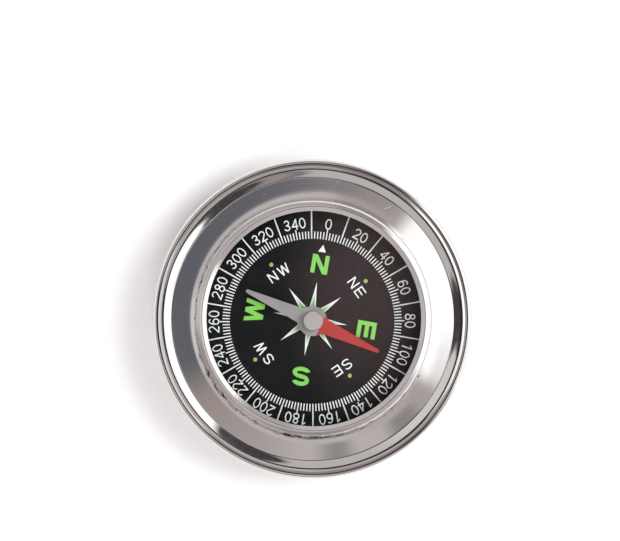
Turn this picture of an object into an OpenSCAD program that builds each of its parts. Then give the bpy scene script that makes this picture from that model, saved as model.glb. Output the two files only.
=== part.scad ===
// Pocket compass: a magnetised needle on a jewelled pivot, over a flat dial, in a pressed steel case.
// Millimetres. The origin is the centre of the flat base, +Z goes up through the lens, and +Y points
// to the dial's north. Every ring is turned about the case's axis; the dial, the pivot and the needle
// stand on an axis of their own, a little to the south of it.

/* [Case] */
// Overall diameter, over the rolled rim
case_d = 75; // [70:0.5:90]
// Diameter of the flat base
base_d = 54; // [46:0.5:60]
// Height of the bezel's flange, at the middle of its sheet, above the base
rim_z = 8.8; // [8:0.1:10]
// Thickness of the back shell's sheet
shell_t = 0.5; // [0.4:0.05:0.7]
// Width of the flat edge inside the rolled rim's curl
hem_lap = 0.08; // [0.04:0.02:0.2]
// Width by which the rolled rim stands out from the shell's side
rim_step = 1.1; // [0.9:0.05:1.6]

/* [Bezel] */
// Thickness of the bezel's sheet
bezel_t = 0.5; // [0.4:0.05:0.7]
// Width of the sloped flange that shows between the rolled rim and the ridge
flange_w = 1.05; // [0.95:0.05:1.5]
// Height of the ridge above the flange's edge
ridge_rise = 0.55; // [0.4:0.05:0.7]
// Radius that rounds the ridge
ridge_round = 1.2; // [0.6:0.05:1.3]
// Width of the flat lip that runs down from the ridge to the crease
lip_w = 2.15; // [1.8:0.05:2.5]
// Depth of the crease below the ridge
lip_drop = 0.5; // [0.35:0.05:0.6]
// Radius that rounds the crease
crease_round = 0.6; // [0.2:0.05:0.65]
// Width of the polished band, from the crease to the lens ring
band_w = 5.5; // [5:0.1:6]
// Height that the band gains by its even slope, from the crease inwards
band_rise = 1.95; // [1.6:0.05:2.2]
// Height that the band gains in its cove beside the lens ring
cove_rise = 0.26; // [0.14:0.02:0.3]
// Depth of the collar that guides the lens ring
collar_h = 1.3; // [1:0.05:1.5]

/* [Lens ring] */
// Height of the small step from the band up to the ring's shoulder
ring_step = 0.08; // [0.04:0.02:0.2]
// Width of the ring's crowned shoulder
shoulder_w = 1.4; // [1.2:0.05:1.6]
// Slope of the shoulder at its foot, in degrees
shoulder_foot_slope = 40; // [35:1:48]
// Slope of the shoulder at its top, in degrees
shoulder_top_slope = 25; // [15:1:30]
// Width of the bevel inside the shoulder
bevel_w = 1.05; // [0.8:0.05:1.3]
// Depth of that bevel
bevel_h = 0.5; // [0.3:0.05:0.7]
// Height of the ring's sharp edge over the lens
ring_edge_h = 0.1; // [0.05:0.01:0.2]
// Thickness of the ring's wall round the lens
ring_wall = 0.85; // [0.7:0.05:1]
// Width of the foot that stands under the collar
ring_foot_w = 0.4; // [0.3:0.05:0.45]
// Gap between the foot's underside and the dial
ring_foot_gap = 0.6; // [0.4:0.05:0.8]

/* [Lens and chamber] */
// Thickness of the lens
lens_t = 1.3; // [1:0.05:1.6]
// Thickness of the rubber gasket under the lens
gasket_t = 0.4; // [0.3:0.05:0.6]
// Width of the gasket
gasket_w = 0.8; // [0.6:0.05:0.9]
// Height of the ring that stands between the dial and the gasket
spacer_h = 2.85; // [2.6:0.05:3.2]
// Thickness of that ring's wall
spacer_wall = 1; // [0.8:0.05:1.3]

/* [Dial and carrier] */
// Thickness of the dial plate
dial_t = 0.5; // [0.4:0.05:0.7]
// Width of the dial that runs on under the lens ring's wall
dial_lap = 1.35; // [1:0.05:1.6]
// Distance of the pivot and the dial from the case's axis, to the south
pivot_off = 0.55; // [0:0.05:0.8]
// Thickness of the packing disc between the carrier and the back shell
pad_t = 0.8; // [0.5:0.05:1.2]
// Width of each moulding groove under the carrier
core_w = 3; // [2:0.1:3.4]
// Thickness of the carrier over its moulding grooves
core_roof = 1.6; // [1.2:0.1:2.5]
// Height of the carrier's land, which holds the dial up over the shelf round it
land_h = 0.5; // [0.3:0.05:0.8]

/* [Pivot] */
// Diameter of the pivot post's shank
post_d = 2.2; // [1.8:0.1:2.6]
// Diameter of the post's head on the dial
post_head_d = 3.8; // [3.4:0.1:4.4]
// Height of the post's head
post_head_h = 0.35; // [0.25:0.05:0.45]
// Diameter of the riveted end
rivet_d = 3.6; // [3.2:0.1:4.2]
// Height of the riveted end
rivet_h = 0.5; // [0.3:0.05:0.7]
// Diameter of the washer under the carrier
washer_d = 6; // [5:0.1:7]
// Thickness of that washer
washer_t = 0.4; // [0.3:0.05:0.6]
// Diameter of the pivot pin
pin_d = 0.6; // [0.5:0.05:0.7]
// Length of the pin's ground point
pin_point_h = 0.9; // [0.6:0.05:1]
// Depth to which the pin is driven into the post
pin_seat_h = 1.5; // [1:0.1:2.5]

/* [Needle] */
// Length of the needle over both points
needle_len = 34.4; // [26:0.2:38]
// Diameter of the needle's round centre
needle_disc_d = 7; // [6:0.1:8]
// Width of an arm where it leaves the centre, as its sides run on to the axis
arm_root_w = 4.2; // [3.4:0.1:4.8]
// Width of an arm at its rounded point
arm_tip_w = 0.8; // [0.6:0.05:1.2]
// Thickness of the blade
blade_t = 0.3; // [0.2:0.05:0.4]
// Gap between the blade and the dial
blade_gap = 0.85; // [0.8:0.05:1]
// Bearing of the red arm on the dial, clockwise from north
needle_bearing = 105; // [0:5:355]
// Diameter of the hub under the cap
hub_d = 3.2; // [3:0.1:3.6]
// Diameter of the hub's spigot through the blade
spigot_d = 2.4; // [2.2:0.05:2.6]
// Diameter of the bore through which the pin enters
hub_bore_d = 1.1; // [1:0.05:1.3]
// Height of the collar riveted under the blade
hub_collar_h = 0.15; // [0.1:0.01:0.2]
// Diameter of the hub's cap
cap_d = 4.6; // [4.2:0.1:5]
// Height of the hub's cap
cap_h = 0.6; // [0.5:0.05:0.8]
// Width of the bevel round the cap
cap_bevel = 0.15; // [0.1:0.01:0.25]
// Gap between the cap and the lens
cap_gap = 0.65; // [0.5:0.05:0.8]
// Diameter of the jewel
jewel_d = 1.8; // [1.6:0.05:1.9]
// Height of the jewel
jewel_h = 0.5; // [0.45:0.05:0.6]
// Depth of the cone in the jewel
jewel_cone_h = 0.3; // [0.2:0.05:0.4]

/* [Hidden] */

$fn = 96;
// Steps in which a curve of a profile is drawn
steps = 14;
// Steps in which a rounded corner of a profile is drawn
corner_steps = 4;
// Overrun of a cut
over = 1;
// Clearance between two parts that are laid or slid together
fit_gap = 0.05;
// Clearance between two parts that are pressed together
press_gap = 0.01;
// Clearance round the bezel's flange inside the rolled rim
fold_gap = 0.02;
// Clearance round a part that is laid in loosely
loose_gap = 0.15;
// Clearance between the pivot's point and the jewel
point_gap = 0.03;
// Sharpness of the band's cove, as the power of the share of its width
cove_power = 7;
// Distance between the carrier's moulding grooves, from wall to wall
core_pitch = 5;

// Radii, from the rim inwards
case_r = case_d / 2;
base_r = base_d / 2;
fold_h = bezel_t + 2 * fold_gap;
hem_r = fold_h + shell_t;
hem_axis_r = case_r - hem_r;
side_r = case_r - rim_step;
flange_r = hem_axis_r + sqrt(pow(fold_h, 2) - pow(bezel_t + fold_gap, 2)) - fold_gap;
hem_edge_r = hem_axis_r - hem_lap;
ridge_r = hem_edge_r - flange_w;
crease_r = ridge_r - lip_w;
band_in_r = crease_r - band_w;
ring_r = band_in_r - fit_gap;
bevel_r = ring_r - shoulder_w;
opening_r = bevel_r - bevel_w;
bore_r = ring_r - ring_wall;
lens_r = bore_r - fit_gap;
spacer_in_r = lens_r - spacer_wall;
foot_r = ring_r + ring_foot_w;
dial_r = bore_r + dial_lap;
land_r = dial_r + pivot_off + loose_gap;
pad_r = base_r - shell_t - loose_gap;

// Heights, from the flange up to the ring and down again to the packing disc
flange_top = rim_z + bezel_t / 2;
ledge_z = rim_z - fold_h / 2;
rim_top = ledge_z + hem_r;
side_h = ledge_z - shell_t;
ridge_z = flange_top + ridge_rise;
crease_z = ridge_z - lip_drop;
band_top = crease_z + band_rise + cove_rise;
collar_z = band_top - collar_h;
shoulder_z = band_top + ring_step;
shoulder_curve_r = shoulder_w / (sin(shoulder_foot_slope) - sin(shoulder_top_slope));
ring_top = shoulder_z + shoulder_curve_r * (cos(shoulder_top_slope) - cos(shoulder_foot_slope));
lens_top = ring_top - bevel_h - ring_edge_h;
lens_z = lens_top - lens_t;
gasket_z = lens_z - gasket_t;
dial_top = gasket_z - spacer_h;
dial_z = dial_top - dial_t;
ring_z = dial_top + ring_foot_gap;
pad_top = shell_t + pad_t;

// Corners of the bezel's profile
flange_edge = [flange_r, flange_top];
slope_foot = [hem_edge_r - fit_gap, flange_top];
ridge = [ridge_r, ridge_z];
crease = [crease_r, crease_z];

// Middle of the arc that crowns the lens ring's shoulder
shoulder_axis = [ring_r - shoulder_curve_r * sin(shoulder_foot_slope),
    shoulder_z - shoulder_curve_r * cos(shoulder_foot_slope)];

// The carrier: its outer shelf, the well for the riveted end, and the moulding grooves
shelf_z = dial_z - land_h;
well_r = washer_d / 2 + loose_gap;
well_z = pad_top + washer_t + rivet_h + loose_gap;
core_wall = core_pitch - core_w;
core_first_r = well_r + pivot_off + core_wall;
core_count = floor((pad_r - core_first_r + core_wall) / core_pitch);

// The pivot and the needle's hub
post_r = post_d / 2;
post_top = dial_top + post_head_h;
blade_z = dial_top + blade_gap;
blade_top = blade_z + blade_t;
cap_top = lens_z - cap_gap;
cap_z = cap_top - cap_h;
cap_sink = cap_h / 4;
hub_top = cap_z + cap_sink;
hub_z = blade_z - hub_collar_h;
jewel_z = hub_top - jewel_h;
point_z = jewel_z + jewel_cone_h - point_gap;
// The jewel's cone has straight sides at 45 degrees, so it is as wide at its mouth as it is deep, each way
jewel_mouth_r = jewel_cone_h;

// Finishes, as the photograph shows them
steel = [0.78, 0.78, 0.79];
bright_steel = [0.88, 0.88, 0.89];
glass = [0.85, 0.92, 0.95, 0.25];
rubber = [0.12, 0.12, 0.13];
dial_black = [0.12, 0.12, 0.14];
moulding = [0.2, 0.2, 0.21];
fibre = [0.55, 0.45, 0.33];
brass = [0.78, 0.62, 0.32];
needle_red = [0.78, 0.2, 0.17];
needle_grey = [0.68, 0.67, 0.66];
jewel_red = [0.7, 0.1, 0.2];

// Points of an arc or of a quarter of an ellipse, from one angle to another
function arc(centre, rx, ry, from, to, n = steps) =
    [for (i = [0:n]) let (a = from + (to - from) * i / n) centre + [rx * cos(a), ry * sin(a)]];

// A path's points, last first
function turned(path) = [for (i = [len(path) - 1:-1:0]) path[i]];

// Unit normal to the left of the way from p to q
function left_of(p, q) = let (d = (q - p) / norm(q - p)) [-d.y, d.x];

// A path moved sideways by t, to its left, with mitred corners
function moved(path, t) = let (last = len(path) - 1) [for (i = [0:last])
    let (a = left_of(path[max(i - 1, 0)], path[max(i, 1)]),
         b = left_of(path[min(i, last - 1)], path[min(i + 1, last)]),
         m = (a + b) / norm(a + b))
    path[i] + m * t / (m * a)];

// Outer side of the back shell, from the flat base up to the ledge under the flange
function shell_side() = arc([base_r, side_h], side_r - base_r, side_h, -90, 0);

// Points of an arc of radius r that rounds the corner q on the way from p to s
function rounded(p, q, s, r) =
    let (a = (p - q) / norm(p - q),
         b = (s - q) / norm(s - q),
         half = acos(a * b) / 2,
         centre = q + (a + b) / norm(a + b) * r / sin(half),
         start = q + a * r / tan(half) - centre,
         end = q + b * r / tan(half) - centre)
    arc(centre, r, r, atan2(start.y, start.x), atan2(end.y, end.x), corner_steps);

// Points of the polished band: an even slope that coves up to the lens ring
function band() = [for (i = [1:steps * 2]) let (share = i / (steps * 2))
    [crease_r - band_w * share, crease_z + band_rise * share + cove_rise * pow(share, cove_power)]];

// Top of the bezel with sharp corners, from the flange's edge inwards: flange, ridge, crease, band
function bezel_line() = concat([flange_edge, slope_foot, ridge, crease], band());

// The same with the ridge and the crease rounded
function bezel_top() = concat([flange_edge, slope_foot],
    rounded(slope_foot, ridge, crease, ridge_round),
    rounded(ridge, crease, band()[0], crease_round),
    band());

// Half width of the needle at a distance from its centre: the round centre blends into a straight taper
function arm_half_w(y) =
    let (taper = arm_root_w / 2 + (arm_tip_w - arm_root_w) / 2 * y / (needle_len / 2),
         disc = sqrt(max(pow(needle_disc_d / 2, 2) - y * y, 0)),
         blend_power = 8)
    pow(pow(taper, blend_power) + pow(disc, blend_power), 1 / blend_power);

// Outline of one arm, from the centre out to its rounded point and back
function arm_outline() =
    let (tip_y = needle_len / 2 - arm_tip_w / 2,
         side = [for (i = [0:steps * 2]) let (y = tip_y * i / (steps * 2)) [arm_half_w(y), y]],
         point = [for (i = [1:steps - 1]) let (a = 180 * i / steps)
             [arm_half_w(tip_y) * cos(a), tip_y + arm_tip_w / 2 * sin(a)]])
    concat(side, point, [for (p = turned(side)) [-p.x, p.y]]);

// Puts children on the axis of the pivot
module on_pivot() translate([0, -pivot_off, 0]) children();

// Puts children on the pivot's axis and turns them to the needle's bearing
module on_needle() on_pivot() rotate([0, 0, -needle_bearing]) children();

// A plain ring or, with no bore, a disc
module ring(z, h, r, bore = 0) {
    rotate_extrude() translate([bore, z]) square([r - bore, h]);
}

// A ring with a small bevel at the top outer edge
module bevelled_disc(z, h, r, bevel, bore = 0) {
    rotate_extrude() polygon([[bore, z], [r, z], [r, z + h - bevel], [r - bevel, z + h], [bore, z + h]]);
}

// Pressed dish with a flat base, a rounded side, a ledge for the bezel's flange and a rim curled over it
module back_shell() color(steel) rotate_extrude() polygon(concat(
    [[0, 0]],
    shell_side(),
    arc([case_r - shell_t, ledge_z], shell_t, shell_t, -90, 0),
    arc([hem_axis_r, ledge_z], hem_r, hem_r, 90 / steps, 90, steps - 1),
    [[hem_edge_r, rim_top], [hem_edge_r, rim_top - shell_t]],
    arc([hem_axis_r, ledge_z], fold_h, fold_h, 90, 0),
    [[side_r - shell_t, ledge_z]],
    turned(moved(shell_side(), shell_t)),
    [[0, shell_t]]));

// Pressed ring: flange, ridge, lip and coved band in one sheet, turned down into a collar
module front_bezel() color(steel) rotate_extrude() polygon(concat(
    bezel_top(),
    [[band_in_r, collar_z], [band_in_r + bezel_t, collar_z]],
    turned([for (p = moved(bezel_line(), bezel_t)) if (p.x > band_in_r + bezel_t) p])));

// Polished ring with a crowned shoulder and an inner bevel; its foot stands under the collar
module lens_ring() color(bright_steel) rotate_extrude() polygon(concat(
    [[bore_r, ring_z], [foot_r, ring_z], [foot_r, collar_z], [ring_r, collar_z]],
    arc(shoulder_axis, shoulder_curve_r, shoulder_curve_r, 90 - shoulder_foot_slope,
        90 - shoulder_top_slope),
    [[opening_r, lens_top + ring_edge_h], [opening_r, lens_top], [bore_r, lens_top]]));

// Flat glass disc under the ring's edge
module lens() color(glass) ring(lens_z, lens_t, lens_r);

// Rubber ring that bears the lens up against the ring's edge
module lens_gasket() color(rubber) ring(gasket_z, gasket_t, lens_r, lens_r - gasket_w);

// Ring that stands on the dial and makes the needle's chamber
module spacer_ring() color(moulding) ring(dial_top, spacer_h, lens_r, spacer_in_r);

// Flat disc that carries the print
module dial_plate() color(dial_black) on_pivot() ring(dial_z, dial_t, dial_r, post_r + fit_gap);

// Section of the carrier up to its shelf: it follows the inside of the shell
module carrier_section() intersection() {
    polygon(concat([[0, 0]], moved(shell_side(), shell_t + loose_gap),
        [[side_r - shell_t - loose_gap, flange_top], [0, flange_top]]));
    translate([0, pad_top]) square([side_r, shelf_z - pad_top]);
}

// Moulded carrier that fills the shell, with a land for the dial, a well and moulding grooves below
module dial_carrier() color(moulding) difference() {
    union() {
        rotate_extrude() carrier_section();
        ring(shelf_z, land_h, land_r);
    }
    for (i = [0:core_count - 1])
        ring(pad_top - over, dial_z - core_roof - pad_top + over, core_first_r + i * core_pitch + core_w,
            core_first_r + i * core_pitch);
    on_pivot() {
        ring(pad_top - over, well_z - pad_top + over, well_r);
        ring(pad_top - over, dial_z - pad_top + 2 * over, post_r + fit_gap);
    }
}

// Fibre disc on the shell's floor
module packing_disc() color(fibre) ring(shell_t, pad_t, pad_r);

// Turned post: a head on the dial, a shank through dial and carrier, and a riveted end
module pivot_post() color(brass) on_pivot() difference() {
    union() {
        bevelled_disc(dial_top, post_head_h, post_head_d / 2, post_head_h / 2);
        ring(well_z - washer_t - rivet_h, dial_top - well_z + washer_t + rivet_h, post_r);
        ring(well_z - washer_t - rivet_h, rivet_h, rivet_d / 2);
    }
    ring(post_top - pin_seat_h, pin_seat_h + over, pin_d / 2 + press_gap);
}

// Washer over which the post is riveted
module post_washer() color(brass) on_pivot()
    ring(well_z - washer_t, washer_t, washer_d / 2, post_r + press_gap);

// Hardened pin, ground to a point
module pivot_pin() color(bright_steel) on_pivot() rotate_extrude() polygon([
    [0, post_top - pin_seat_h], [pin_d / 2, post_top - pin_seat_h], [pin_d / 2, point_z - pin_point_h],
    [0, point_z]]);

// Stamped blade with a round centre and two arms, one painted red and one bare
module needle_blade() on_needle() difference() {
    translate([0, 0, blade_z]) {
        color(needle_red) linear_extrude(blade_t) polygon(arm_outline());
        color(needle_grey) rotate([0, 0, 180]) linear_extrude(blade_t) polygon(arm_outline());
    }
    ring(blade_z - over, blade_t + 2 * over, spigot_d / 2 + press_gap);
}

// Turned hub, riveted through the blade, with a seat for the jewel
module needle_hub() color(needle_grey) on_needle() difference() {
    union() {
        ring(hub_z, hub_collar_h, hub_d / 2);
        ring(hub_z, blade_top - hub_z, spigot_d / 2);
        ring(blade_top, hub_top - blade_top, hub_d / 2);
    }
    ring(hub_z - over, hub_top - hub_z + 2 * over, hub_bore_d / 2);
    ring(jewel_z, jewel_h + over, jewel_d / 2 + press_gap);
}

// Hard bearing with a cone in its underside, which rests on the pin's point
module jewel_cup() color(jewel_red) on_needle() rotate_extrude() polygon([
    [0, jewel_z + jewel_cone_h], [jewel_mouth_r, jewel_z], [jewel_d / 2, jewel_z],
    [jewel_d / 2, jewel_z + jewel_h], [0, jewel_z + jewel_h]]);

// Button that closes the hub
module hub_cap() color(bright_steel) on_needle() difference() {
    bevelled_disc(cap_z, cap_h, cap_d / 2, cap_bevel);
    ring(cap_z - over, cap_sink + over, hub_d / 2 + press_gap);
}

back_shell();
front_bezel();
lens_ring();
lens_gasket();
spacer_ring();
dial_plate();
dial_carrier();
packing_disc();
pivot_post();
post_washer();
pivot_pin();
needle_blade();
needle_hub();
jewel_cup();
hub_cap();
lens();
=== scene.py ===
"""Pocket compass: the finished looks of a round steel compass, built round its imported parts."""

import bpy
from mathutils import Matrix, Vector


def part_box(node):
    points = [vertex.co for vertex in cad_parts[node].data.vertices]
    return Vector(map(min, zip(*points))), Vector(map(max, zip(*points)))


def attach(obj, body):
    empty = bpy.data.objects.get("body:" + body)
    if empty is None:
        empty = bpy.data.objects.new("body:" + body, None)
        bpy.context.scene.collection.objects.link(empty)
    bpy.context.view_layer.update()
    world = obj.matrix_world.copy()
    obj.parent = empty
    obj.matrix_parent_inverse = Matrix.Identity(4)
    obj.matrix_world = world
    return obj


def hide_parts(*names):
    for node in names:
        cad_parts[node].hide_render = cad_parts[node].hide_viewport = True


bl_info = {
    "name": "Pocket compass",
    "version": (1, 0, 0),
    "blender": (4, 5, 0),
    "location": "View3D > Sidebar > Compass",
    "description": "Dresses a pocket compass: steel case, glass lens, printed dial, painted needle",
    "category": "Object",
}

import math

import bmesh
import bpy
import mathutils
import numpy as np

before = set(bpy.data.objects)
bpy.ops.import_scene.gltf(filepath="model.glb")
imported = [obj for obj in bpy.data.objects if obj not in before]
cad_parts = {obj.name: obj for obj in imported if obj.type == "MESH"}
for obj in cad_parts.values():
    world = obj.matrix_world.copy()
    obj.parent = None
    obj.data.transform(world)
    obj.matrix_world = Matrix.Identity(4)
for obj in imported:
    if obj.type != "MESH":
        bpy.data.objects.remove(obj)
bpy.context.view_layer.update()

MM = 0.001
# Steps round a turned shape
SEGMENTS = 288
# Bearing of the dial's north in the picture, clockwise from straight up
NORTH_IN_VIEW = math.radians(9.6)
# Thickness of a layer of ink
INK = 0.012 * MM
# Noise lies between these for the most part, and patterns are spread from there
NOISE_RANGE = {"From Min": 0.3, "From Max": 0.7}


# ---- values ----


def linear(code):
    """An sRGB hex value such as #C13E32 as linear red, green and blue."""
    share = np.array([int(code[i : i + 2], 16) for i in (1, 3, 5)]) / 255
    return tuple(np.where(share <= 0.04045, share / 12.92, ((share + 0.055) / 1.055) ** 2.4))


def rgba(value):
    return (*value[:3], 1)


def grey_tone(level):
    return (level, level, level, 1)


def shaded(value, factor):
    """A colour made darker or lighter."""
    return rgba([min(1, v * factor) for v in value[:3]])


def length(name, description, millimetres):
    """A size that the user may change, given in millimetres and kept in metres."""
    return bpy.props.FloatProperty(
        name=name, description=description, default=millimetres * MM, precision=6, unit="LENGTH"
    )


def angle(name, description, degrees):
    """An angle that the user may change, given in degrees."""
    return bpy.props.FloatProperty(
        name=name, description=description, default=math.radians(degrees), subtype="ANGLE", unit="ROTATION"
    )


def colour(name, description, code):
    """A colour that the user may change, given as sRGB hex."""
    return bpy.props.FloatVectorProperty(
        name=name, description=description, default=linear(code), min=0, max=1, subtype="COLOR"
    )


class CompassCaseSizes(bpy.types.PropertyGroup):
    """Sizes of the pressed and turned rings, as in the part's own profile"""

    sheet: length("Sheet", "Thickness of the shell's and the bezel's sheet", 0.5)
    fold_gap: length("Fold gap", "Clearance round the flange inside the rolled rim", 0.02)
    hem_lap: length("Hem edge", "Width of the flat edge inside the rolled rim's curl", 0.08)
    rim_step: length("Rim step", "Width by which the rolled rim stands out from the shell's side", 1.1)
    base_d: length("Base", "Diameter of the flat base", 54)
    slope_gap: length("Slope gap", "Gap between the turned edge and the foot of the flange's slope", 0.05)
    flange_w: length("Flange width", "Width of the sloped flange up to the ridge", 1.05)
    ridge_rise: length("Ridge rise", "Height of the ridge above the flange's edge", 0.55)
    ridge_round: length("Ridge rounding", "Radius that rounds the ridge", 1.2)
    lip_w: length("Lip width", "Width of the flat lip between ridge and crease", 2.15)
    lip_drop: length("Lip drop", "Depth of the crease below the ridge", 0.5)
    lip_crown: length("Lip crown", "Height by which pressing leaves the lip crowned", 0.018)
    crease_round: length("Crease rounding", "Radius that rounds the crease", 0.6)
    band_rise: length("Band rise", "Height that the band gains by its even slope", 1.95)
    cove_rise: length("Cove rise", "Height that the band gains in its cove", 0.26)
    collar_h: length("Collar", "Depth of the collar that guides the lens ring", 1.3)
    collar_gap: length("Collar gap", "Clearance between the collar and the lens ring", 0.05)
    shoulder_w: length("Shoulder width", "Width of the lens ring's crowned shoulder", 1.4)
    shoulder_foot: angle("Shoulder foot", "Slope of the shoulder at its foot", 40)
    shoulder_top: angle("Shoulder top", "Slope of the shoulder at its top", 25)
    crest_round: length("Crest rounding", "Radius between the ring's shoulder and its bevel", 0.3)
    bevel_w: length("Bevel width", "Width of the bevel inside the shoulder", 1.05)
    ring_edge: length("Ring edge", "Height of the bevel's foot over the lens", 0.1)
    ring_wall: length("Ring wall", "Thickness of the lens ring's wall round the lens", 0.85)
    ring_foot_w: length("Ring foot", "Width of the foot under the collar", 0.4)
    lens_edge: length("Lens edge", "Radius that rounds the lens's ground edges", 0.1)


class CompassDialSizes(bpy.types.PropertyGroup):
    """Sizes of the dial's print and of the needle"""

    tick_in: length("Tick ring, inside", "Radius at which every tick starts", 19.4)
    tick_out: length("Tick ring, outside", "Radius at which the short ticks end", 21.1)
    long_tick_out: length("Long ticks", "Radius at which the tick under a number ends", 21.75)
    sector_out: length("Sector lines", "Radius at which the lines between the numbers end", 27.5)
    tick_w: length("Tick width", "Width of a tick", 0.25)
    line_w: length("Line width", "Width of a line between the numbers", 0.3)
    number_r: length("Number radius", "Radius of the middle of the numbers", 23.1)
    number_h: length("Number height", "Height of the numbers", 2.55)
    number_line: length("Number line", "Width of the numbers' strokes", 0.3)
    inner_east: length("Inner print, east", "Offset of the inner print from the tick ring", -0.44)
    inner_north: length("Inner print, north", "Offset of the inner print from the tick ring", 0.16)
    point_r: length("Main letters' radius", "Radius of the middle of N, E, S and W", 13.35)
    point_h: length("Main letters' height", "Height of N, E, S and W", 4.45)
    point_line: length("Main letters' line", "Width of the strokes of N, E, S and W", 0.98)
    half_point_r: length("Small letters' radius", "Radius of the middle of NE, SE, SW and NW", 13.35)
    half_point_h: length("Small letters' height", "Height of NE, SE, SW and NW", 2.45)
    half_point_line: length("Small letters' line", "Width of the strokes of NE, SE, SW and NW", 0.31)
    dot_r: length("Dot radius", "Radius of the dots' middle", 15.95)
    dot_d: length("Dot", "Diameter of a dot", 0.95)
    arrow_in: length("North mark, inside", "Radius of the north mark's foot", 16.25)
    arrow_out: length("North mark, outside", "Radius of the north mark's tip", 18)
    arrow_w: length("North mark width", "Width of the north mark's foot", 1.8)
    star_r: length("Star", "Radius of the star's points", 8.75)
    star_w: length("Star ray", "Width of a ray at its widest", 1.52)
    star_wide_r: length("Star ray's place", "Radius at which a ray is widest", 2.4)
    star_edge: length("Star edge", "Width of the white edge round a ray's green core", 0.2)
    star_off: length("Star offset", "Offset of the star from the inner print, to the north", 0.34)
    needle_len: length("Needle", "Length of the needle over both points", 34.4)
    needle_disc_d: length("Needle's centre", "Diameter of the needle's round centre", 7)
    arm_root_w: length("Arm root", "Width of an arm as its sides run on to the axis", 4.2)
    arm_tip_w: length("Arm tip", "Width of an arm at its rounded point", 0.8)
    blade_edge: length("Blade edge", "Radius that stamping and paint leave on the blade's edge", 0.07)
    bearing: angle("Bearing", "Bearing of the red arm at rest, clockwise from the dial's north", 105)
    spigot_d: length("Spigot", "Diameter of the hub's spigot through the blade", 2.4)
    bare: length("Bare centre", "Distance from the needle's centre at which the red paint starts", 2.2)
    cap_chamfer: length("Cap chamfer", "Width and height of the chamfer on the cap's top", 0.15)


class CompassColours(bpy.types.PropertyGroup):
    """Colours of the finishes"""

    steel: colour("Steel", "Stainless steel of the case", "#D8D6D5")
    ring: colour("Ring steel", "Brighter steel of the lens ring", "#DEDCDB")
    # The paste's colour also paints the shade in the seam and the painted shade line at the lens ring's foot
    paste: colour("Polishing paste", "Paste that is left in the seam beside the lens ring", "#3C3230")
    dial: colour("Dial", "Satin black of the dial", "#08080A")
    white: colour("White ink", "Ticks, numbers and small letters", "#F9F9F8")
    green: colour("Green ink", "Main letters", "#84D05A")
    lime: colour("Lime ink", "Dots", "#AEB76A")
    red: colour("Red paint", "Pointing arm of the needle", "#AC322D")
    grey: colour("Grey lacquer", "Other arm and centre of the needle", "#989293")
    cap: colour("Cap", "Etched aluminium of the cap", "#CCC6C6")
    aluminium: colour("Aluminium", "Turned aluminium of the hub", "#CFCBCA")
    brass: colour("Brass", "Pivot post and washer", "#C9A24E")
    rubber: colour("Rubber", "Gasket", "#1C1C1E")
    chamber: colour("Chamber", "Moulded spacer ring", "#1A1A1C")
    carrier: colour("Carrier", "Moulded carrier", "#303134")
    board: colour("Board", "Fibre packing disc", "#8C7454")
    jewel: colour("Jewel", "Bearing cup", "#9E1230")
    floor: colour("Floor", "Floor under the compass", "#EDEDEC")


# Tones of the studio's panels. The white ones are brighter than paper, as lit panels are
TONES = {
    "white": grey_tone(1.5), "wall": grey_tone(1.45),
    **{name: rgba(linear(code)) for name, code in (
        ("pearl", "#F0EDEC"), ("pale", "#D6D0D0"), ("silver", "#C0B8B7"), ("brown", "#AFA29E"),
        ("grey", "#A39D9D"), ("dim", "#8A8687"), ("shade", "#727279"), ("slate", "#6D6E77"),
        ("soot", "#4C4749"),
    )},
}


def around(row):
    """Stops of a ramp round the compass, from a row of words: degrees clockwise from straight up in the
    picture and a tone, which is a name or a grey level, turn by turn."""
    words = row.split()
    return [
        (float(bearing) / 360, TONES[tone] if tone in TONES else grey_tone(float(tone)))
        for bearing, tone in zip(words[::2], words[1::2])
    ]


def case_sizes():
    return bpy.context.scene.compass_case


def dial_sizes():
    return bpy.context.scene.compass_dial


def colours():
    return bpy.context.scene.compass_colours


def node_span(node):
    """Outer radius, middle, lowest and highest level of a round CAD node, in metres."""
    low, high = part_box(node)
    return (high.x - low.x) / 2, ((high.x + low.x) / 2, (high.y + low.y) / 2), low.z, high.z


def seam_radius():
    """Radius of the seam between the band and the lens ring."""
    return node_span("lens_ring")[0] - case_sizes().ring_foot_w


def inner_print():
    """Middle of the print inside the tick ring, which a screen of its own laid down."""
    centre = node_span("dial_plate")[1]
    return centre[0] + dial_sizes().inner_east, centre[1] + dial_sizes().inner_north


def from_view(bearing, radius):
    """East and north of a place, given by its bearing in the picture in degrees and its radius."""
    turn = math.radians(bearing) - NORTH_IN_VIEW
    return radius * math.sin(turn), radius * math.cos(turn)


def leaned(bearing, lean, distance):
    """A place that is leaned from straight up towards a bearing in the picture, both in degrees."""
    lean = math.radians(lean)
    return np.array([*from_view(bearing, distance * math.sin(lean)), distance * math.cos(lean)])


# ---- shapes ----


def unit(vectors):
    """The same directions with a length of 1."""
    return vectors / np.linalg.norm(vectors, axis=-1, keepdims=True)


def arc(centre, across, up, start, end, steps=24):
    """Points of an ellipse's arc: centre + (across cos a, up sin a), for a from start to end in degrees."""
    a = np.radians(np.linspace(start, end, steps + 1))
    return np.stack([centre[0] + across * np.cos(a), centre[1] + up * np.sin(a)], 1)


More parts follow.
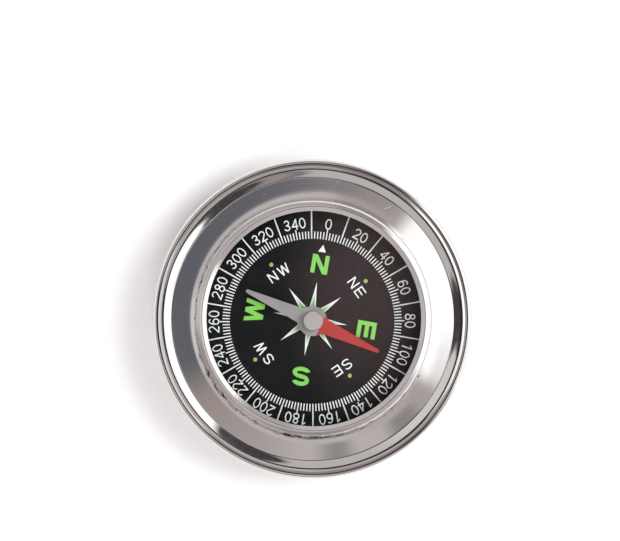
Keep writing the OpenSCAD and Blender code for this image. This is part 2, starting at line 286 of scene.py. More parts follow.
def rounded(path, radii, steps=6):
    """A path whose inner corners are arcs that touch both sides. An arc's centre lies on the corner's
    bisector, radius / sin(half angle) from the corner, and the arc swings from one side to the other by
    the rule for turning one vector into another at an even rate."""
    path = np.asarray(path, float)
    radii = np.reshape(radii, (-1, 1))
    corner = path[1:-1]
    back, ahead = unit(path[:-2] - corner), unit(path[2:] - corner)
    half = np.arccos(np.clip((back * ahead).sum(1, keepdims=True), -1, 1)) / 2
    centre = corner + unit(back + ahead) * radii / np.sin(half)
    first, last = ((corner + way * radii / np.tan(half) - centre)[:, None, :] for way in (back, ahead))
    share = np.linspace(0, 1, steps + 1)[None, :, None]
    swing = (np.pi - 2 * half)[:, None, :]
    turn = (np.sin((1 - share) * swing) * first + np.sin(share * swing) * last) / np.sin(swing)
    return np.concatenate([path[:1], (centre[:, None, :] + turn).reshape(-1, 2), path[-1:]])


def spread(path, longest):
    """The same path with points added, so that no stretch of it is longer than longest: its corners stay,
    and points at an even distance along it are read off between them, but for those close to a corner."""
    path = np.asarray(path, float)
    way = np.concatenate([[0], np.cumsum(np.linalg.norm(np.diff(path, axis=0), axis=1))])
    keep = np.concatenate([[True], np.diff(way) > 1e-9])
    way, path = way[keep], path[keep]
    steps = np.linspace(0, way[-1], max(2, math.ceil(way[-1] / longest) + 1))
    near = np.abs(steps[:, None] - way[None, :]).min(1) < longest / 8
    places = np.sort(np.concatenate([way, steps[~near]]))
    return np.stack([np.interp(places, way, path[:, k]) for k in range(2)], 1)


def beside(path, distance):
    """A path moved to its left by a distance, with mitred corners: each point goes along the mean of the
    normals of its two sides, divided by that mean's share of either normal."""
    side = unit(np.diff(path, axis=0))
    normal = np.stack([-side[:, 1], side[:, 0]], 1)
    before, after = np.concatenate([normal[:1], normal]), np.concatenate([normal, normal[-1:]])
    mean = unit(before + after)
    return path + mean * distance / (mean * before).sum(1, keepdims=True)


def on_bearing(bearing, across, outward, centre):
    """Points given by their distance across and along a bearing: centre + outward (sin b, cos b) + across
    (cos b, -sin b), with b clockwise from north. Each of several bearings has its own row of points."""
    b, across, outward = np.asarray(bearing)[..., None], np.asarray(across), np.asarray(outward)
    return np.stack([
        centre[0] + outward * np.sin(b) + across * np.cos(b),
        centre[1] + outward * np.cos(b) - across * np.sin(b),
    ], -1)


def new_mesh(points, faces):
    mesh = bpy.data.meshes.new("mesh")
    mesh.from_pydata(points.reshape(-1, 3).tolist(), [], faces)
    return mesh


def grid_mesh(points, wrap_rows, zones=None):
    """A mesh on a grid of points, rows by columns: the columns always meet, and the rows do if asked.
    zones gives the material number of each strip between two rows, or of each face in it."""
    rows, columns = points.shape[:2]
    lower = np.arange(rows * columns).reshape(rows, columns)
    upper = np.roll(lower, -1, 0)
    if not wrap_rows:
        lower, upper = lower[:-1], upper[:-1]
    quads = np.stack([lower, upper, np.roll(upper, -1, 1), np.roll(lower, -1, 1)], -1).reshape(-1, 4)
    mesh = new_mesh(points, quads.tolist())
    if zones is not None:
        zones = np.asarray(zones, np.int32).reshape(len(lower), -1)
        mesh.polygons.foreach_set("material_index", np.broadcast_to(zones, lower.shape).ravel())
    return mesh


def turned_mesh(path, centre=(0, 0), wrap=True, zones=None):
    """A turned shape: the path's point (r, z), turned by u, is centre + (r sin u, r cos u) at height z."""
    turn = np.linspace(0, 2 * np.pi, SEGMENTS, endpoint=False)
    points = np.empty((len(path), SEGMENTS, 3))
    points[..., 0] = centre[0] + path[:, :1] * np.sin(turn)
    points[..., 1] = centre[1] + path[:, :1] * np.cos(turn)
    points[..., 2] = path[:, 1:]
    return grid_mesh(points, wrap, zones)


def printed_mesh(outlines, low, high):
    """A thin flat print. The outlines, arrays of shapes by corners, are joined where they overlap by cutting
    the plane into triangles along all their sides and keeping those inside any of them. The triangles stand
    at both levels, and every side that only one triangle has is closed by a wall."""
    corners, faces, count = [], [], 0
    for shapes in outlines:
        x, y = shapes[..., 0], shapes[..., 1]
        area = (x * np.roll(y, -1, 1) - np.roll(x, -1, 1) * y).sum(1)
        shapes = np.where(area[:, None, None] < 0, shapes[:, ::-1], shapes)
        faces += (count + np.arange(x.size)).reshape(x.shape).tolist()
        corners.append(shapes.reshape(-1, 2))
        count += x.size
    plane = (np.concatenate(corners) / MM).tolist()
    found, _, cut, _, _, owners = mathutils.geometry.delaunay_2d_cdt(plane, [], faces, 1, 1e-5)
    flat, cut = np.array(found) * MM, np.array(cut)[[len(owner) > 0 for owner in owners]]
    count = len(flat)
    sides = np.concatenate([cut[:, [0, 1]], cut[:, [1, 2]], cut[:, [2, 0]]])
    key = np.sort(sides, 1)
    _, first, times = np.unique(key[:, 0] * count + key[:, 1], return_index=True, return_counts=True)
    rim = sides[first[times == 1]]
    walls = np.stack([rim[:, 0], rim[:, 1], rim[:, 1] + count, rim[:, 0] + count], 1)
    points = np.empty((2, count, 3))
    points[..., :2], points[0, :, 2], points[1, :, 2] = flat, low, high
    return new_mesh(points, cut[:, ::-1].tolist() + (cut + count).tolist() + walls.tolist())


def finished_piece(name, mesh, materials, body, replaces=(), sharp=22):
    """Closes a mesh's seams and poles, turns its faces outwards, smooths it between its sharp edges, and
    puts it on its CAD body in its material slot."""
    bm = bmesh.new()
    bm.from_mesh(mesh)
    bmesh.ops.remove_doubles(bm, verts=bm.verts, dist=1e-7)
    bmesh.ops.dissolve_degenerate(bm, edges=bm.edges, dist=1e-8)
    bmesh.ops.recalc_face_normals(bm, faces=bm.faces)
    bm.to_mesh(mesh)
    bm.free()
    mesh.name = name
    for material in materials:
        mesh.materials.append(material)
    mesh.polygons.foreach_set("use_smooth", np.ones(len(mesh.polygons), bool))
    mesh.set_sharp_from_angle(angle=math.radians(sharp))
    piece = bpy.data.objects.new(name, mesh)
    bpy.context.scene.collection.objects.link(piece)
    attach(piece, body)
    if replaces:
        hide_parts(*replaces)


def print_on_dial(name, outlines, ink, layer=0):
    """Prints outlines on the dial, or on a layer of ink that it has already."""
    low = node_span("dial_plate")[3] + layer * INK
    mesh = printed_mesh(outlines, low, low + INK)
    finished_piece(name, mesh, [ink], "case", sharp=30)


def dress(node, material):
    """Gives a CAD node's own object its material."""
    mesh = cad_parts[node].data
    mesh.materials.clear()
    mesh.materials.append(material)


# ---- characters ----


def strip(left, right):
    """Quads between two paths with as many points each."""
    return np.stack([left[:-1], left[1:], right[1:], right[:-1]], 1)


def bow(centre, across, up, start, end, width):
    """A stroke between an ellipse's arc and one that lies inside it by the stroke's width."""
    steps = max(8, round(abs(end - start) / 9))
    return strip(
        arc(centre, across, up, start, end, steps),
        arc(centre, across - width, up - width, start, end, steps),
    )


def bar(start, end, width):
    """A straight stroke with square ends."""
    path = np.array([start, end], float)
    return strip(beside(path, width / 2), beside(path, -width / 2))


def slant(start, end, width):
    """A straight stroke with level ends: its level width is its width / the sine of its slope."""
    (x0, y0), (x1, y1) = start, end
    half = width / 2 * math.hypot(x1 - x0, y1 - y0) / abs(y1 - y0)
    return np.array([[(x0 - half, y0), (x0 + half, y0), (x1 + half, y1), (x1 - half, y1)]])


def box(left, low, right, high):
    """A level stroke or an upright one, by its sides."""
    return np.array([[(left, low), (right, low), (right, high), (left, high)]])


def character(sign, w, wide):
    """The strokes of one plain block character, 1 high, in strokes w wide, and its width: wide for a
    letter, 0.6 for a figure. Bowls are arcs of ellipses; stems and arms are straight."""
    if sign == "N":
        lean = w / 2 * math.hypot(wide - w, 1)
        return [box(0, 0, w, 1), box(wide - w, 0, wide, 1), slant((lean, 1), (wide - lean, 0), w)], wide
    if sign == "E":
        return [box(0, 0, w, 1), box(0, 0, wide, w), box(0, 1 - w, wide, 1),
                box(0, 0.51 - w / 2, wide * 0.94, 0.51 + w / 2)], wide
    if sign == "W":
        wide *= 1.36
        lean = w / 2 * math.hypot(wide / 4, 1)
        feet = [(lean, 1), (wide * 0.27, 0), (wide / 2, 1), (wide * 0.73, 0), (wide - lean, 1)]
        return [slant(a, b, w) for a, b in zip(feet[:-1], feet[1:])], wide
    if sign == "S":
        wide *= 1.07
        high = (1 + w) / 4
        upper = bow((wide / 2, 1 - high), wide / 2 * 0.94, high, 18, 250, w)
        lower = bow((wide / 2, high), wide / 2, high, 70, -160, w)
        return [upper, lower, bar(upper[-1, [1, 2]].mean(0), lower[0, [0, 3]].mean(0), w)], wide
    strokes = {
        "0": lambda: [bow((0.335, 0.5), 0.335, 0.5, 0, 360, w)],
        "1": lambda: [box(0.34, 0, 0.34 + w, 1), bar((0.36 + w / 2, 0.98), (0.12, 0.76), w)],
        "2": lambda: [
            bow((0.335, 0.7), 0.325, 0.3, 172, -32, w), box(0.01, 0, 0.66, w),
            bar((0.335 + (0.325 - w / 2) * 0.848, 0.7 - (0.3 - w / 2) * 0.53), (0.07, w * 0.6), w),
        ],
        "3": lambda: [
            bow((0.325, 0.735), 0.28, 0.265, 165, -90, w), bow((0.33, 0.27), 0.32, 0.27, 90, -165, w),
            box(0.23, 0.5 - w / 2, 0.36, 0.5 + w / 2),
        ],
        "4": lambda: [
            box(0.45, 0, 0.45 + w, 1), box(0.01, 0.24, 0.67, 0.24 + w),
            bar((0.07, 0.24 + w / 2), (0.45 + w * 0.4, 0.95), w),
        ],
        "6": lambda: [bow((0.345, 0.32), 0.32, 0.32, 0, 360, w), bow((0.385, 0.5), 0.36, 0.5, 195, 48, w)],
        "8": lambda: [
            bow((0.335, 0.745), 0.275, 0.255, 0, 360, w), bow((0.335, 0.28), 0.325, 0.28, 0, 360, w),
        ],
    }
    return [part * (0.9, 1) for part in strokes[sign]()], 0.6


def words_on_dial(words, height, stroke, centre, wide, gap):
    """Outlines of words round the dial, each given as its bearing in degrees, the radius of its middle and
    its characters, with its top outwards. The letters' width and gap are shares of the height."""
    outlines = []
    for bearing, radius, word in words:
        along, strokes = 0.0, []
        for sign in word:
            parts, width = character(sign, stroke / height, wide)
            strokes += [part + (along, 0) for part in parts]
            along += width + gap
        middle = ((along - gap) / 2, 0.5)
        for part in strokes:
            across, outward = np.moveaxis((part - middle) * height, -1, 0)
            outlines.append(on_bearing(math.radians(bearing), across, outward + radius, centre))
    return outlines


# ---- materials ----


def scale_for(millimetres):
    """The scale at which a pattern's feature is that wide, on coordinates in metres."""
    return 1000 / millimetres


def feed(tree, node, inputs):
    """Sets or links each of the inputs named. A node stands for the first of its outputs in use."""
    for key, value in inputs.items():
        if isinstance(value, bpy.types.Node):
            value = next(output for output in value.outputs if output.enabled)
        if isinstance(value, bpy.types.NodeSocket):
            tree.links.new(value, node.inputs[key])
        else:
            node.inputs[key].default_value = value


def add_node(tree, kind, inputs=None, stops=(), **settings):
    """Adds a shader node of a kind, such as Math, with its own settings and, on a ramp, its stops, and
    feeds the inputs named."""
    made = tree.nodes.new("ShaderNode" + kind)
    for key, value in settings.items():
        setattr(made, key, value)
    for k, (share, tone) in enumerate(stops):
        stop = made.color_ramp.elements[k] if k < 2 else made.color_ramp.elements.new(share)
        stop.position, stop.color = share, tone
    feed(tree, made, inputs or {})
    return made


def new_material(name):
    """An empty material, its node tree, its Principled shader and the piece's own coordinates."""
    material = bpy.data.materials.new(name)
    material.use_nodes = True
    tree = material.node_tree
    tree.nodes.clear()
    shader = add_node(tree, "BsdfPrincipled")
    add_node(tree, "OutputMaterial", {"Surface": shader})
    return material, tree, shader, add_node(tree, "TexCoord").outputs["Object"]


def show_instead(tree, shader):
    """Puts another shader on the material's surface."""
    output = next(node for node in tree.nodes if node.type == "OUTPUT_MATERIAL")
    feed(tree, output, {"Surface": shader})


def speckle(tree, place, millimetres, low=0.0, high=1.0, detail=3.0):
    """Noise with features of that width, spread to run from low to high."""
    noise = add_node(tree, "TexNoise", {
        "Vector": place, "Scale": scale_for(millimetres), "Detail": detail, "Roughness": 0.55,
    })
    return add_node(tree, "MapRange", {"Value": noise, "To Min": low, "To Max": high, **NOISE_RANGE})


def turning_lines(tree, radius, millimetres):
    """Rings of uneven strength from 0 to 1, as a lathe or a polishing wheel leaves them."""
    noise = add_node(
        tree, "TexNoise", {"W": radius, "Scale": scale_for(millimetres), "Detail": 2.0}, noise_dimensions="1D"
    )
    return add_node(tree, "MapRange", {"Value": noise, **NOISE_RANGE})


def axis_distance(tree, place, centre=(0, 0)):
    """Distance from the axis through centre, in metres."""
    flat = add_node(tree, "Mapping", {
        "Vector": place, "Location": (-centre[0], -centre[1], 0), "Scale": (1, 1, 0),
    })
    return add_node(tree, "VectorMath", {0: flat}, operation="LENGTH")


def view_bearing(tree, place):
    """Bearing round the case's axis, clockwise from straight up in the picture, as a share of a turn."""
    way = add_node(tree, "SeparateXYZ", {0: place})
    radians = add_node(tree, "Math", {0: way.outputs["X"], 1: way.outputs["Y"]}, operation="ARCTAN2")
    turn = 2 * math.pi
    turns = add_node(
        tree, "Math", {0: radians, 1: 1 / turn, 2: 1 + NORTH_IN_VIEW / turn}, operation="MULTIPLY_ADD"
    )
    return add_node(tree, "Math", {0: turns}, operation="FRACT")


def window(tree, value, low, high, soft):
    """1 where value lies between low and high, fading to 0 over soft on either side."""
    rise, fall = (
        add_node(
            tree, "MapRange",
            {"Value": value, "From Min": edge - soft, "From Max": edge + soft, "To Min": first,
             "To Max": last},
            interpolation_type="SMOOTHSTEP",
        )
        for edge, first, last in ((low, 0.0, 1.0), (high, 1.0, 0.0))
    )
    return add_node(tree, "Math", {0: rise, 1: fall}, operation="MULTIPLY")


def scratch(tree, place, start, end, width):
    """1 on a straight scratch between two places, given in mm as bearing in the picture and radius, and 0
    beyond its width. It is read from the distance to the line's nearest point, which lies at the share of
    the line that the place reaches along it, held between 0 and 1."""
    first, last = (np.array([*from_view(*spot), 0]) * MM for spot in (start, end))
    run = last - first
    flat = add_node(tree, "VectorMath", {0: place, 1: (1, 1, 0)}, operation="MULTIPLY")
    off = add_node(tree, "VectorMath", {0: flat, 1: tuple(first)}, operation="SUBTRACT")
    along = add_node(tree, "VectorMath", {0: off, 1: tuple(run / (run @ run))}, operation="DOT_PRODUCT")
    held = add_node(tree, "Clamp", {0: along})
    near = add_node(tree, "VectorMath", {0: tuple(run), "Scale": held}, operation="SCALE")
    away = add_node(tree, "VectorMath", {0: off, 1: near}, operation="DISTANCE")
    return add_node(tree, "MapRange", {
        "Value": away, "From Max": width / 2 * MM, "To Min": 1.0, "To Max": 0.0,
    })


def paste_share(tree, place, radius):
    """How much dark tone lies beside the seam between band and lens ring: dark polishing paste, which also
    paints the shade in the seam's corner. It lies in streaks along the seam, thick on the side where the
    wheel ran out and thin elsewhere. A streak shows where noise goes over a limit, which falls as the amount
    on that bearing grows."""
    seam = seam_radius()
    share = view_bearing(tree, place)
    amount = add_node(tree, "ValToRGB", {"Fac": share}, stops=around(
        "0 0.3 14 0.42 30 0.1 50 0.22 100 0.12 116 0.3 124 0.5 150 0.42 178 0.7 192 0.7 205 0.45 240 0.62 "
        "256 0.35 280 0.48 325 0.45 340 0.3 360 0.3"
    ))
    arc_length = add_node(tree, "Math", {0: share, 1: 2 * math.pi * seam}, operation="MULTIPLY")
    # The streaks are 2 mm long and 0.4 mm wide
    along, across = (
        add_node(tree, "Math", {0: way, 1: scale_for(size)}, operation="MULTIPLY")
        for way, size in ((arc_length, 2.0), (radius, 0.4))
    )
    on_seam = add_node(tree, "CombineXYZ", {"X": along, "Y": across})
    streaks = add_node(tree, "TexNoise", {"Vector": on_seam, "Scale": 1.0, "Detail": 4.0, "Roughness": 0.72})
    clean_limit, fall, steepness = 0.7, -0.36, 16.0
    limit = add_node(tree, "Math", {0: amount, 1: fall, 2: clean_limit}, operation="MULTIPLY_ADD")
    over = add_node(tree, "Math", {0: streaks, 1: limit}, operation="SUBTRACT")
    hard = add_node(tree, "Math", {0: over, 1: steepness}, operation="MULTIPLY", use_clamp=True)
    # It reaches from 0.1 mm inside the seam to 0.6 mm outside it, and thins out over 0.25 mm
    near = window(tree, radius, seam - 0.1 * MM, seam + 0.6 * MM, 0.25 * MM)
    return add_node(tree, "Math", {0: hard, 1: near}, operation="MULTIPLY", use_clamp=True)


def coat(tree, shader, value, tones, cloud, grain, depth, inputs):
    """The unevenness of a finish: its colour runs between two shades of value with the cloud, and its
    surface rises by depth, in mm, with the grain. The shader's other inputs are fed as given."""
    first, second = (shaded(value, factor) for factor in tones)
    tone = add_node(tree, "Mix", {"Factor": cloud, "A": first, "B": second}, data_type="RGBA")
    relief = add_node(tree, "Bump", {"Height": grain, "Distance": depth * MM})
    feed(tree, shader, {"Base Color": tone, "Normal": relief, **inputs})


def mirror_steel():
    """Stainless steel sheet, pressed and buffed to a mirror: it reflects sharply, and the press leaves it
    slightly wavy, so edges in the reflection wander a little. Rub marks dull it here and there."""
    material, tree, shader, place = new_material("stainless_steel_mirror_buffed")
    waves = speckle(tree, place, 7.0, detail=0.0)
    feed(tree, shader, {
        "Base Color": rgba(colours().steel), "Metallic": 1.0,
        "Roughness": speckle(tree, place, 2.6, 0.035, 0.1),
        "Normal": add_node(tree, "Bump", {"Height": waves, "Distance": 0.012 * MM}),
    })
    return material


def satin_steel():
    """Stainless steel band, buffed on a turning wheel: a soft reflection with faint rings, a few fine
    straight scratches from use, whose near-white colour is a painted glint, and dark polishing paste left in
    the corner beside the lens ring, which also paints the corner's shade."""
    material, tree, shader, place = new_material("stainless_steel_wheel_buffed")
    radius = axis_distance(tree, place)
    # The wheel's lines are 0.03 mm apart on the real case. They are drawn 0.22 mm apart, so that they show
    rings = turning_lines(tree, radius, 0.22)
    marks = 0.0
    # Each scratch: its start and its end, by bearing in the picture and radius, and its width in mm
    for start, end, width in (
        ((10, 33.1), (10.4, 32.1), 0.13), ((21, 30.9), (21.2, 30.2), 0.1), ((34.6, 32), (33, 30.8), 0.14),
        ((42, 32.5), (47, 30), 0.09), ((104, 29.4), (106.5, 28.9), 0.07), ((338, 31.6), (339.5, 31.1), 0.08),
    ):
        mark = scratch(tree, place, start, end, width)
        marks = add_node(tree, "Math", {0: marks, 1: mark}, operation="MAXIMUM")
    # The paste's dark tone, streaked beside the seam, also paints the shade in the seam's corner
    paste = paste_share(tree, place, radius)
    tone = rgba(colours().steel)
    # The scratches are real wear; their near-white colour is a painted glint, standing in for the light that
    # they catch
    for share, other in ((marks, linear("#FBFAF8")), (paste, colours().paste)):
        tone = add_node(tree, "Mix", {"Factor": share, "A": tone, "B": rgba(other)}, data_type="RGBA")
    dull = add_node(tree, "MapRange", {"Value": rings, "To Min": 0.08, "To Max": 0.12})
    for share, gain in ((marks, 0.4), (paste, 0.45)):
        dull = add_node(tree, "Math", {0: share, 1: gain, 2: dull}, operation="MULTIPLY_ADD")
    feed(tree, shader, {
        "Base Color": tone, "Metallic": 1.0, "Roughness": dull,
        "Normal": add_node(tree, "Bump", {"Height": rings, "Distance": 0.0003 * MM}),
    })
    return material


def turned_steel():
    """Stainless steel ring, turned and polished: bright, with fine rings, small rubs on its edges, a little
    polishing paste at its foot, and a painted shade line there, where the seam's shade falls."""
    material, tree, shader, place = new_material("stainless_steel_turned_polished")
    radius, seam = axis_distance(tree, place), seam_radius()
    # The painted shade line at the ring's foot, in the seam's corner, is 0.16 mm wide, and has 0.35 of the
    # paste's tone where there is no paste
    foot = window(tree, radius, seam - 0.16 * MM, seam + 1 * MM, 0.06 * MM)
    shadow = add_node(
        tree, "Math", {0: foot, 1: 0.35, 2: paste_share(tree, place, radius)},
        operation="MULTIPLY_ADD", use_clamp=True,
    )
    # The ring's colour darkens with the paste and with the painted shade line at its foot
    tone = add_node(
        tree, "Mix", {"Factor": shadow, "A": rgba(colours().ring), "B": rgba(colours().paste)},
        data_type="RGBA",
    )
    # Turning marks 0.04 mm apart are drawn 0.15 mm apart, so that they show
    rings = turning_lines(tree, radius, 0.15)
    rubs = speckle(tree, place, 1.8, 0.08, 0.13)
    feed(tree, shader, {
        "Base Color": tone, "Metallic": 1.0,
        "Roughness": add_node(tree, "Math", {0: rings, 1: 0.05, 2: rubs}, operation="MULTIPLY_ADD"),
        "Normal": add_node(tree, "Bump", {"Height": rings, "Distance": 0.0003 * MM}),
    })
    return material


def mineral_glass():
    """Flat mineral glass, ground and polished: clear, with sharp, faint reflections. Lamps and the light
    that a surface under it gathers go straight through, as they nearly do through a flat pane."""
    material, tree, shader, place = new_material("mineral_glass_polished")
    feed(tree, shader, {
        "Base Color": rgba(linear("#FBFDFC")), "Transmission Weight": 1.0, "IOR": 1.52,
        "Roughness": speckle(tree, place, 6.0, 0.0, 0.012),
    })
    path = add_node(tree, "LightPath")
    through = add_node(
        tree, "Math", {0: path.outputs["Is Shadow Ray"], 1: path.outputs["Is Diffuse Ray"]},
        operation="MAXIMUM",
    )
    open_way = add_node(tree, "BsdfTransparent", {"Color": rgba(linear("#FAFCFB"))})
    show_instead(tree, add_node(tree, "MixShader", {0: through, 1: shader, 2: open_way}))
    return material


def black_enamel():
    """Satin black enamel, screen-printed on an aluminium disc: nearly black, with a soft sheen, a very
    fine grain and a speck of dust here and there."""
    material, tree, shader, place = new_material("black_enamel_screen_printed")
    # A speck of dust 0.1 to 0.2 mm wide lies where the middle of a cell of 4.2 mm is in the surface
    cells = add_node(tree, "TexVoronoi", {"Vector": place, "Scale": scale_for(4.2)})
    dust = add_node(tree, "MapRange", {
        "Value": cells, "From Min": 0.012, "From Max": 0.022, "To Min": 0.5, "To Max": 0.0,
    })
    tone = shaded(colours().dial, 0.8)
    for share, other in (
        (speckle(tree, place, 9.0), shaded(colours().dial, 1.25)), (dust, rgba(linear("#8E8E90"))),
    ):
        tone = add_node(tree, "Mix", {"Factor": share, "A": tone, "B": other}, data_type="RGBA")
    # The grain of the ink, 0.05 mm, is drawn at 0.14 mm, so that it shows
    grain = speckle(tree, place, 0.14)
    feed(tree, shader, {
        "Base Color": tone, "Specular IOR Level": 0.25,
        "Roughness": add_node(tree, "MapRange", {"Value": grain, "To Min": 0.41, "To Max": 0.47}),
        "Normal": add_node(tree, "Bump", {"Height": grain, "Distance": 0.0007 * MM}),
    })
    return material


def printed_ink(name, value):
    """Screen-printed ink: flat and even, slightly thinner in tiny spots where the screen's mesh was."""
    material, tree, shader, place = new_material(name)
    # The screen's mesh, 0.06 mm, is drawn at 0.16 mm, so that it shows
    mesh = speckle(tree, place, 0.16, detail=1.0)
    rough = add_node(tree, "MapRange", {"Value": mesh, "To Min": 0.42, "To Max": 0.55})
    coat(tree, shader, value, (0.94, 1), mesh, mesh, 0.003, {"Roughness": rough})
    return material


def faded_green_ink(centre):
    """Green ink printed with a fade: full green at the star's middle, paler outwards, white at the tips.
    The screen's mesh is drawn as wide as in the other inks."""
    material, tree, shader, place = new_material("green_ink_faded")
    mesh = speckle(tree, place, 0.16, -0.06, 0.06, detail=1.0)
    reach = add_node(tree, "MapRange", {
        "Value": axis_distance(tree, place, centre), "From Min": 2.4 * MM, "From Max": 6.6 * MM,
    })
    uneven = add_node(tree, "Math", {0: reach, 1: mesh}, operation="ADD")
    fade = add_node(tree, "ValToRGB", {"Fac": uneven}, stops=[
        (0.0, rgba(linear("#74B858"))), (0.42, rgba(linear("#93C284"))), (0.75, rgba(linear("#CBDAD0"))),
        (1.0, rgba(colours().white)),
    ])
    feed(tree, shader, {
        "Base Color": fade, "Roughness": 0.48,
        "Normal": add_node(tree, "Bump", {"Height": mesh, "Distance": 0.003 * MM}),
    })
    return material


def sprayed_paint(name, value, low, high):
    """Paint sprayed on thin steel: an even coat with a slight pebble, a little thinner here and there."""
    material, tree, shader, place = new_material(name)
    pebble = speckle(tree, place, 0.35)
    rough = add_node(tree, "MapRange", {"Value": pebble, "To Min": low, "To Max": high})
    coat(tree, shader, value, (0.93, 1.05), speckle(tree, place, 3.0), pebble, 0.004, {
        "Roughness": rough, "Specular IOR Level": 0.35,
    })
    return material


def turned_metal(name, value, centre, low, high, spacing):
    """Aluminium or brass faced on a lathe: rings round its axis catch the light unevenly."""
    material, tree, shader, place = new_material(name)
    # Tool marks 0.05 mm apart are drawn wider, by the spacing given, so that they show
    rings = turning_lines(tree, axis_distance(tree, place, centre), spacing)
    rough = add_node(tree, "MapRange", {"Value": rings, "To Min": low, "To Max": high})
    coat(tree, shader, value, (0.95, 1.03), rings, rings, 0.0015, {"Roughness": rough, "Metallic": 1.0})
    return material


def etched_aluminium():
    """Aluminium etched and anodised without colour: a pale, even satin that gathers light from all round,
    with a fine grain and slightly duller spots where it was handled."""
    material, tree, shader, place = new_material("aluminium_etched_anodised")
    # The etch's grain, 0.04 mm, is drawn at 0.12 mm, so that it shows
    grain = speckle(tree, place, 0.12)
    coat(tree, shader, colours().cap, (0.95, 1.03), grain, grain, 0.002, {
        "Roughness": speckle(tree, place, 1.6, 0.46, 0.56), "Metallic": 1.0,
    })
    return material


def ground_steel():
    """Hardened steel pin, ground: grey, with a fine even grain."""
    material, tree, shader, place = new_material("hardened_steel_ground")
    # The grain, 0.02 mm, is drawn at 0.1 mm, so that it shows
    feed(tree, shader, {
        "Base Color": rgba(linear("#C4C2C0")), "Metallic": 1.0,
        "Roughness": speckle(tree, place, 0.1, 0.16, 0.28),
    })
    return material


def moulded_plastic(name, value, rough):
    """Injection-moulded ABS with a spark-eroded skin: dull, finely pitted, slightly uneven in tone."""
    material, tree, shader, place = new_material(name)
    # The skin's pits, 0.05 mm, are drawn at 0.25 mm, so that they show
    pits = speckle(tree, place, 0.25)
    skin = add_node(tree, "MapRange", {"Value": pits, "To Min": rough - 0.07, "To Max": rough + 0.07})
    coat(tree, shader, value, (0.9, 1.12), speckle(tree, place, 7.0), pits, 0.01, {"Roughness": skin})
    return material


def black_rubber():
    """Moulded nitrile rubber: matt black with a soft bloom."""
    material, tree, shader, place = new_material("nitrile_rubber_moulded")
    bloom = speckle(tree, place, 1.4)
    coat(tree, shader, colours().rubber, (1, 1.9), bloom, bloom, 0.006, {"Roughness": 0.72})
    return material


def fibre_board():
    """Pressed fibre board: brown, with short pale and dark fibres in the plane of the sheet, 2.2 mm long
    and 0.3 mm wide."""
    material, tree, shader, place = new_material("fibre_board_pressed")
    lay = add_node(tree, "Mapping", {"Vector": place, "Scale": (scale_for(2.2), scale_for(0.3), 1)})
    fibres = add_node(tree, "TexNoise", {"Vector": lay, "Scale": 1.0, "Detail": 3.0, "Distortion": 1.2})
    coat(tree, shader, colours().board, (0.6, 1.5), fibres, fibres, 0.03, {"Roughness": 0.88})
    return material


def synthetic_ruby():
    """Synthetic ruby, ground and polished: deep red and glossy, cloudier inside."""
    material, tree, shader, place = new_material("synthetic_ruby_polished")
    red = colours().jewel
    tone = add_node(tree, "Mix", {
        "Factor": speckle(tree, place, 0.5), "A": shaded(red, 0.7), "B": shaded(red, 1.2),
    }, data_type="RGBA")
    feed(tree, shader, {"Base Color": tone, "IOR": 1.77, "Roughness": 0.08})
    return material


def studio_floor():
    """Plain pale floor: matt, and shown a little brighter than it is lit, so that it turns white away
    from the compass and keeps its shadow. Metal and glass see it as the camera does."""
    material, tree, shader, place = new_material("studio_floor_paper")
    tone = add_node(tree, "Mix", {
        "Factor": speckle(tree, place, 1.2), "A": shaded(colours().floor, 0.985), "B": rgba(colours().floor),
    }, data_type="RGBA")
    feed(tree, shader, {"Base Color": tone, "Roughness": 1.0, "Specular IOR Level": 0.0})
    path = add_node(tree, "LightPath")
    seen = path.outputs["Is Camera Ray"]
    for kind in ("Is Glossy Ray", "Is Transmission Ray"):
        seen = add_node(tree, "Math", {0: seen, 1: path.outputs[kind]}, operation="MAXIMUM")
    amount = add_node(tree, "Math", {0: seen, 1: 0.1}, operation="MULTIPLY")
    glow = add_node(tree, "Emission", {"Color": grey_tone(1), "Strength": amount})
    show_instead(tree, add_node(tree, "AddShader", {0: shader, 1: glow}))
    return material


# ---- pieces ----


